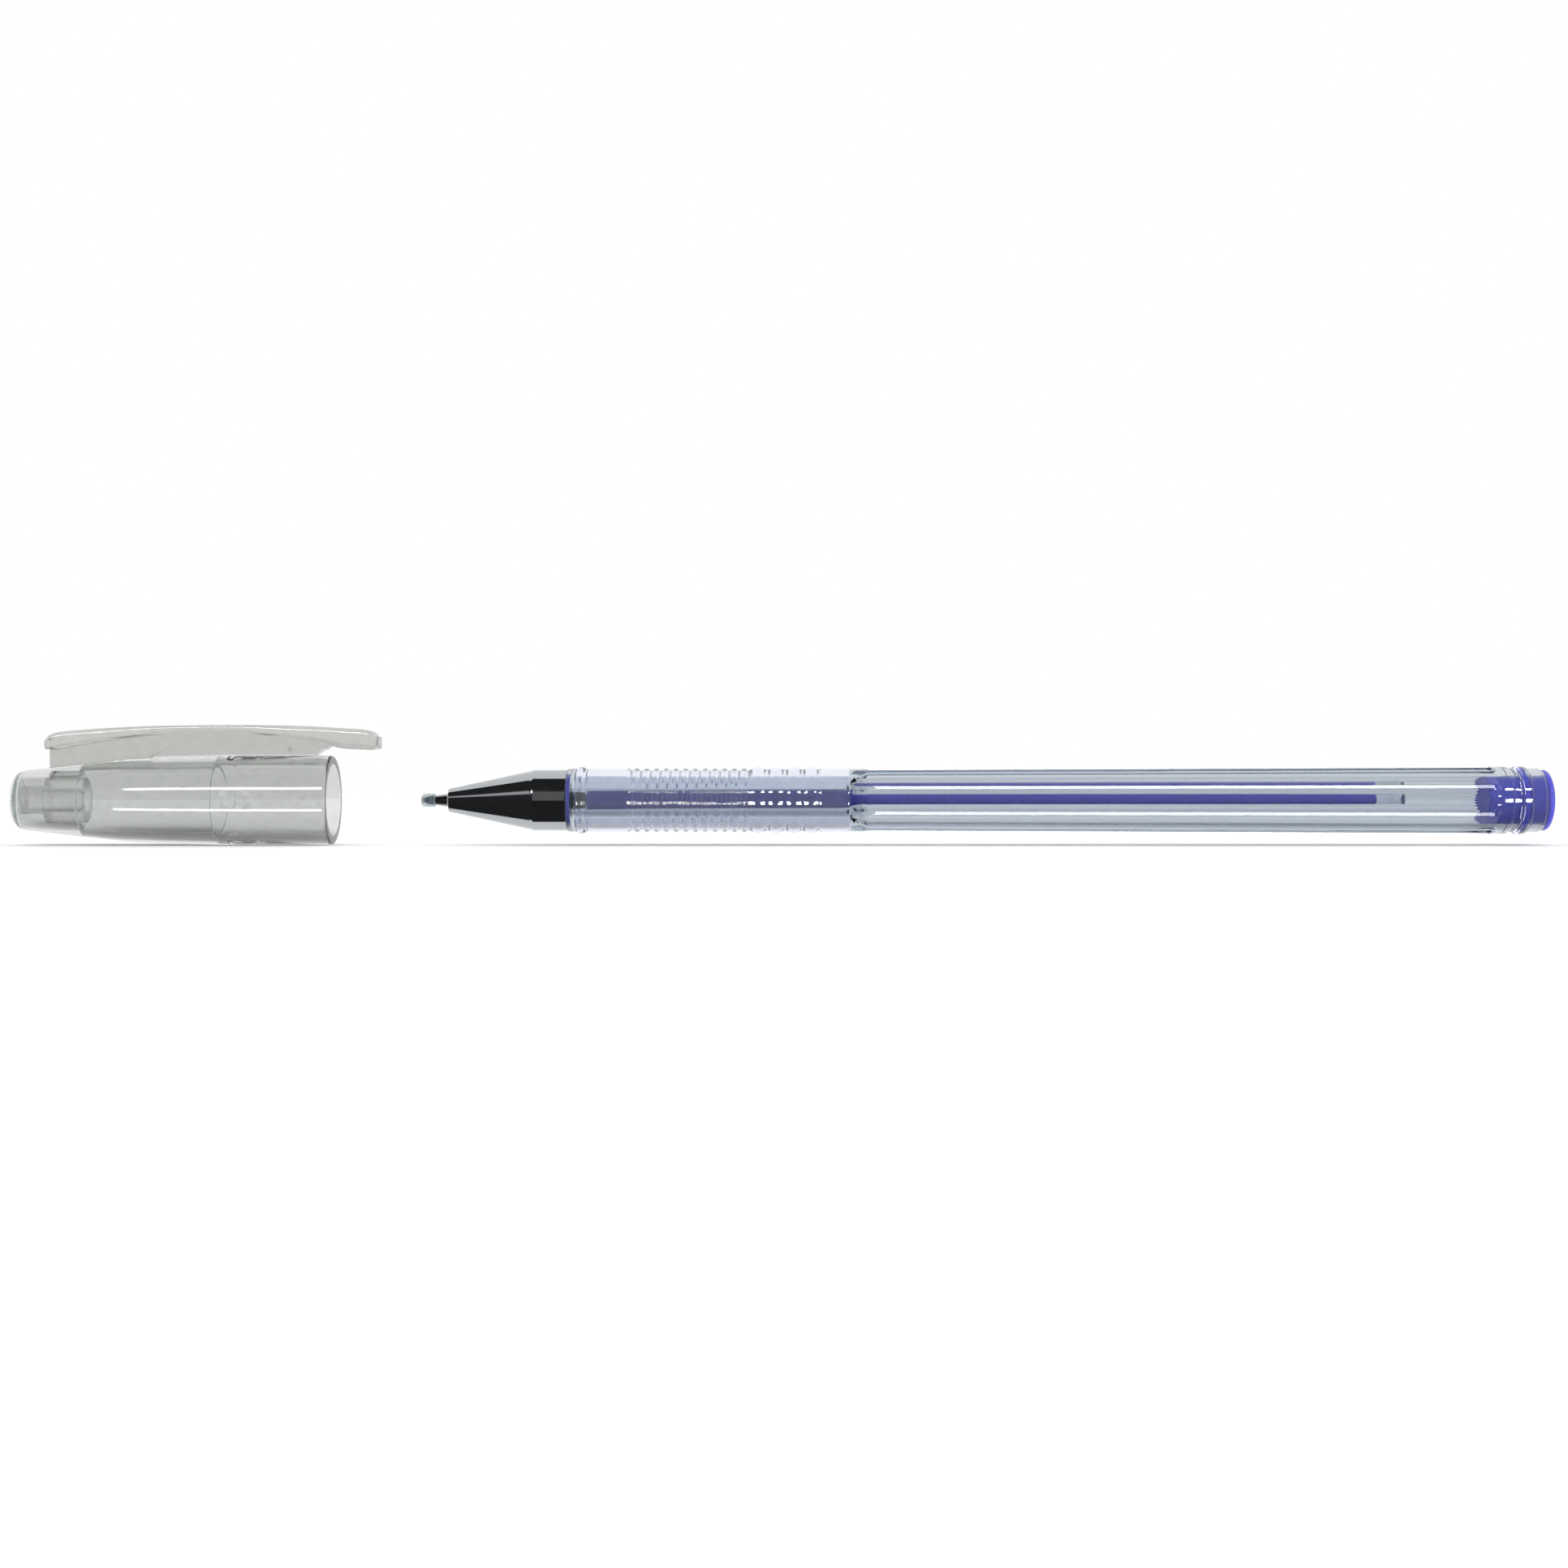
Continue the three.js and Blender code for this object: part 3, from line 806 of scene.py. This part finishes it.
def clip_steps(x, under):
    """The clip's section below the blade at x: the height where the rib ends, the half
    width and foot of the piece under it, and the half width and foot of the lowest one."""
    shell = straight(SHELL_OUTSIDE, x)
    flange_foot = shell + FLANGE_GAP
    if x < WEB_X:
        middle = under - 2 * SLIVER
        return under - SLIVER, RIB_HALF_WIDTH, middle, RIB_HALF_WIDTH, under - 3 * SLIVER
    if x < WEB_END_X[0]:
        foot = math.sqrt(shell * shell - RIB_HALF_WIDTH ** 2)
        return (under + foot) / 2, RIB_HALF_WIDTH, foot + 0.1, RIB_HALF_WIDTH, foot
    if x < TOOTH[0][0]:
        rise = max(share(x, *WEB_END_X), 0.05)
        rib_foot = flange_foot + (RIB_UNDERSIDE - flange_foot) * rise
        middle = (rib_foot + flange_foot) / 2
        return rib_foot, FLANGE_HALF_WIDTH, middle, FLANGE_HALF_WIDTH, flange_foot
    if x < TOOTH[-1][0]:
        tooth_foot = straight(TOOTH, x)
        foot = tooth_foot - 2 * SLIVER
        if x < TOOTH[2][0]:
            foot = min(flange_foot, foot)
        return TOOTH_TOP, TOOTH_HALF_WIDTH, tooth_foot, FLANGE_HALF_WIDTH, foot
    rib_foot = RIB_UNDERSIDE + (RIB_END_UNDERSIDE - RIB_UNDERSIDE) * share(x, *RIB_END_X)
    foot = min(rib_foot, under - 3 * SLIVER)
    upper = (2 * under + foot) / 3
    middle = (under + 2 * foot) / 3
    return upper, RIB_HALF_WIDTH, middle, RIB_HALF_WIDTH, foot


def clip_section(x):
    """Half of the clip's section at x, from the top centre round to the foot's centre."""
    top = along(BLADE_TOP, x)
    under = min(along(BLADE_UNDERSIDE, x), top - 0.4)
    rib_foot, middle_half, middle_foot, low_half, foot = clip_steps(x, under)
    corner = min(EDGE_ROUNDING, (top - under) * 0.4)
    half = [(0, top)]
    for i in range(5):
        turn = math.pi / 2 * i / 4
        half.append((
            BLADE_HALF_WIDTH - corner + corner * math.sin(turn),
            top - corner + corner * math.cos(turn),
        ))
    half += [
        (BLADE_HALF_WIDTH, under + 0.12),
        (BLADE_HALF_WIDTH - 0.12, under),
        (RIB_HALF_WIDTH + 0.15, under),
        (RIB_HALF_WIDTH, under - SLIVER / 2),
        (RIB_HALF_WIDTH, rib_foot),
        (middle_half, rib_foot),
        (middle_half, middle_foot),
        (low_half, middle_foot),
        (low_half, foot),
        (0, foot),
    ]
    return half


def clip_places():
    """Stations along the clip: even steps, closer ones at its rounded ends, and both sides
    of each sudden change of shape."""
    front = BLADE_TOP[0][0]
    back = BLADE_TOP[-1][0]
    places = {front + (back - front) * i / CLIP_STEPS for i in range(CLIP_STEPS + 1)}
    for x in (WEB_X, WEB_END_X[1], *(x for x, _ in TOOTH)):
        places.update((x - 0.01, x + 0.01))
    places.update((WEB_END_X[0], *RIB_END_X))
    places.update((front + 0.1, front + 0.2, front + 0.6, back - 0.6, back - 0.3, back - 0.15))
    return sorted(places)


def make_clip(plastic):
    vertices = []
    rings = []
    for x in clip_places():
        half = clip_section(x)
        outline = half + [(-y, z) for y, z in reversed(half[1:-1])]
        start = len(vertices)
        vertices += [(x, y, z) for y, z in outline]
        rings.append(list(range(start, start + len(outline))))
    faces = ring_faces(rings, closed=False)
    faces.append(tuple(reversed(rings[0])))
    faces.append(tuple(rings[-1]))
    faces = [tuple(reversed(face)) for face in faces]
    clip = piece("clear_clip", vertices, faces, sharp=30)
    clip.data.materials.append(plastic)
    hinge_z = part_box("clip_arm")[1].z
    start = ((CLIP_ARM_X - HINGE_REACH) * MM, 0, hinge_z)
    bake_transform(clip)
    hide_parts("clip_arm")


def make_liner(frosted):
    shelf_x = LINER_X - 4.8
    stem = 1.65
    bore = 1.15
    profile = rounded([
        (LINER_BACK_X, 0),
        (LINER_BACK_X, stem),
        (shelf_x, stem),
        (shelf_x, LINER_R),
        (LINER_X, LINER_R),
        (LINER_X, bore + 0.23),
        (LINER_X - 0.3, bore),
        (LINER_BACK_X + 0.4, bore),
        (LINER_BACK_X + 0.4, 0),
    ], 0.12)
    liner = turned("frosted_liner", profile, closed=False)
    finish(liner, frosted, "cap", "cap_liner")


def finish(made, material, body, node):
    """Gives a piece its material and its body, and hides the CAD node that it stands for."""
    made.data.materials.append(material)
    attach(made, body)
    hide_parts(node)


# ---- Stage, light and camera ----

CAMERA_DISTANCE = 0.27
FIELD_WIDTH = 0.1932
SENSOR = 36
CAMERA_X = 0.0002
CAMERA_Z = 0.0075
LAMP_DISTANCE = 0.45


def make_floor():
    half = 1.5
    mesh = bpy.data.meshes.new("studio_floor")
    corners = [(-half, -half, 0), (half, -half, 0), (half, half, 0), (-half, half, 0)]
    mesh.from_pydata(corners, [], [(0, 1, 2, 3)])
    floor = bpy.data.objects.new("studio_floor", mesh)
    bpy.context.scene.collection.objects.link(floor)
    floor.data.materials.append(surface("floor_paper", (0.97, 0.97, 0.97), 0.9, grain=40, spread=0.005))
    floor.visible_glossy = False


def make_flag():
    """A dark half-tube in front, seen only in reflections, which gives bright metal its depth."""
    radius = 0.5
    half_length = 0.6
    steps = 24
    vertices = []
    for i in range(steps + 1):
        turn = math.radians(-90 + 180 * i / steps)
        y = -radius * math.cos(turn)
        z = AXIS_Z * MM + radius * math.sin(turn)
        vertices += [(-half_length, y, z), (half_length, y, z)]
    faces = [(2 * i, 2 * i + 1, 2 * i + 3, 2 * i + 2) for i in range(steps)]
    mesh = bpy.data.meshes.new("dark_flag")
    mesh.from_pydata(vertices, [], faces)
    flag = bpy.data.objects.new("dark_flag", mesh)
    bpy.context.scene.collection.objects.link(flag)
    flag.data.materials.append(surface("flag_cloth", (0.01, 0.01, 0.011), 0.9, grain=40))
    flag.visible_camera = False
    flag.visible_diffuse = False
    flag.visible_transmission = False
    flag.visible_shadow = False


def make_world():
    world = bpy.data.worlds.new("white_studio")
    world.use_nodes = True
    world.node_tree.nodes["Background"].inputs["Color"].default_value = (1, 1, 1, 1)
    bpy.context.scene.world = world


def lamp(name, lit, elevation, height, radiance, x=0.0, width=0.8, distance=LAMP_DISTANCE):
    """A soft box whose glow shows only in the gloss of some pieces. It stands in front of
    the axis at an angle above the line of sight, height is the angle that it covers, and
    x and width are its place and size along the pen, in metres."""
    turn = math.radians(elevation)
    light = bpy.data.lights.new(name, "AREA")
    light.shape = "RECTANGLE"
    light.size = width
    light.size_y = 2 * distance * math.tan(math.radians(height) / 2)
    light.energy = radiance * light.size * light.size_y * math.pi
    made = bpy.data.objects.new(name, light)
    made.location = (x, -distance * math.cos(turn), AXIS_Z * MM + distance * math.sin(turn))
    made.rotation_euler = (math.pi / 2 - turn, 0, 0)
    made.visible_camera = False
    made.visible_transmission = False
    made.visible_diffuse = False
    bpy.context.scene.collection.objects.link(made)
    receivers = bpy.data.collections.new(name + "_lit")
    for piece_name in lit:
        receivers.objects.link(bpy.data.objects[piece_name])
    made.light_linking.receiver_collection = receivers


def floor_wash():
    """Even light from above that takes the floor to white and touches nothing else."""
    light = bpy.data.lights.new("floor_wash", "AREA")
    light.size = 3
    light.energy = 9
    made = bpy.data.objects.new("floor_wash", light)
    made.location = (0, 0, 1.2)
    made.visible_camera = False
    made.visible_glossy = False
    made.visible_transmission = False
    bpy.context.scene.collection.objects.link(made)
    receivers = bpy.data.collections.new("floor_wash_lit")
    receivers.objects.link(bpy.data.objects["studio_floor"])
    made.light_linking.receiver_collection = receivers


def mirrored(x, tilt=0, distance=LAMP_DISTANCE):
    """Where along the pen a lamp shows in the surface at x, for a surface tilted along X."""
    return x * MM * (1 + distance / CAMERA_DISTANCE) + distance * math.tan(math.radians(2 * tilt))


def make_lamps():
    barrel, grip, plug = "clear_barrel", "soft_grip_sleeve", "violet_end_plug"
    shell, clip, cone = "clear_cap_shell", "clear_clip", "chrome_nose_cone"
    ridge_x = mirrored((FACETS_X + FACETS_END_X) / 2)
    ridge_width = mirrored(FACETS_END_X) - mirrored(FACETS_X)
    for side in (-1, 1):
        label = "low" if side < 0 else "high"
        lamp(f"ridge_{label}", [barrel], side * 45, 60, 13, x=ridge_x, width=ridge_width)
        lamp(f"back_ridge_{label}", [barrel], side * 135, 36, 6, x=ridge_x, width=ridge_width)
    grip_x = (GRIP_X + GRIP_END_X) / 2
    for tilt, label in ((-19, "left"), (19, "right")):
        place = mirrored(grip_x, tilt)
        lamp(f"rib_low_{label}", [grip], -12, 11, 60, x=place, width=0.18)
        lamp(f"rib_high_{label}", [grip], 34, 6, 60, x=place, width=0.1)
    rear_x = (PLUG_X + PEN_END_X) / 2
    lamp("rear_streak", [barrel, plug], -1, 12, 40, x=mirrored(rear_x, 0), width=0.024)
    lamp("rear_dots", [barrel, plug], 38, 6, 60, x=mirrored(rear_x, 0), width=0.02)
    lamp("cap_high", [shell], 30.5, 7, 16, x=-0.17, width=0.17)
    lamp("cap_low", [shell], -25, 6, 16, x=-0.205, width=0.25)
    lamp("clip_high", [clip], 30.5, 8, 24, x=-0.2, width=0.3)
    lamp("nose_streak", [cone], 33, 13, 0.5, x=-0.3, width=0.2)
    lamp("nose_shoulder", [cone], 16, 34, 0.14, x=mirrored(SHOULDER_X + 2), width=0.05)
    lamp("nose_spark", [cone], 34, 9, 12, x=mirrored(SHOULDER_X, -7), width=0.12)
    lamp("nose_edge_spark", [cone], 33, 5, 9, x=mirrored(NOSE_END_X, 25), width=0.2)
    floor_wash()


def make_camera():
    camera = bpy.data.cameras.new("camera")
    camera.sensor_width = SENSOR
    camera.lens = SENSOR * CAMERA_DISTANCE / FIELD_WIDTH
    camera.clip_start = 0.01
    camera.clip_end = 10
    holder = bpy.data.objects.new("camera", camera)
    holder.location = (CAMERA_X, -CAMERA_DISTANCE, CAMERA_Z)
    holder.rotation_euler = (math.pi / 2, 0, 0)
    bpy.context.scene.collection.objects.link(holder)
    bpy.context.scene.camera = holder


def set_view():
    scene = bpy.context.scene
    scene.view_settings.view_transform = "Standard"
    scene.cycles.max_bounces = 32
    scene.cycles.transmission_bounces = 32
    scene.cycles.glossy_bounces = 12


make_camera()
make_world()
make_floor()
make_flag()
set_view()

violet = violet_plastic()
bare_steel = steel()
make_barrel(barrel_plastic())
make_grip(grip_rubber())
make_nose_cone(chrome())
make_tip_holder(violet)
make_point(bare_steel, painted_shade_steel())
make_ball(bare_steel)
make_seal(seal_wax())
make_refill_tube(refill_plastic())
make_ink(violet_ink())
make_follower(clear_grease())
make_end_plug(violet, stem_front_painted_light())
make_cap_shell(cap_plastic())
make_clip(clip_plastic())
make_liner(liner_plastic())

make_lamps()
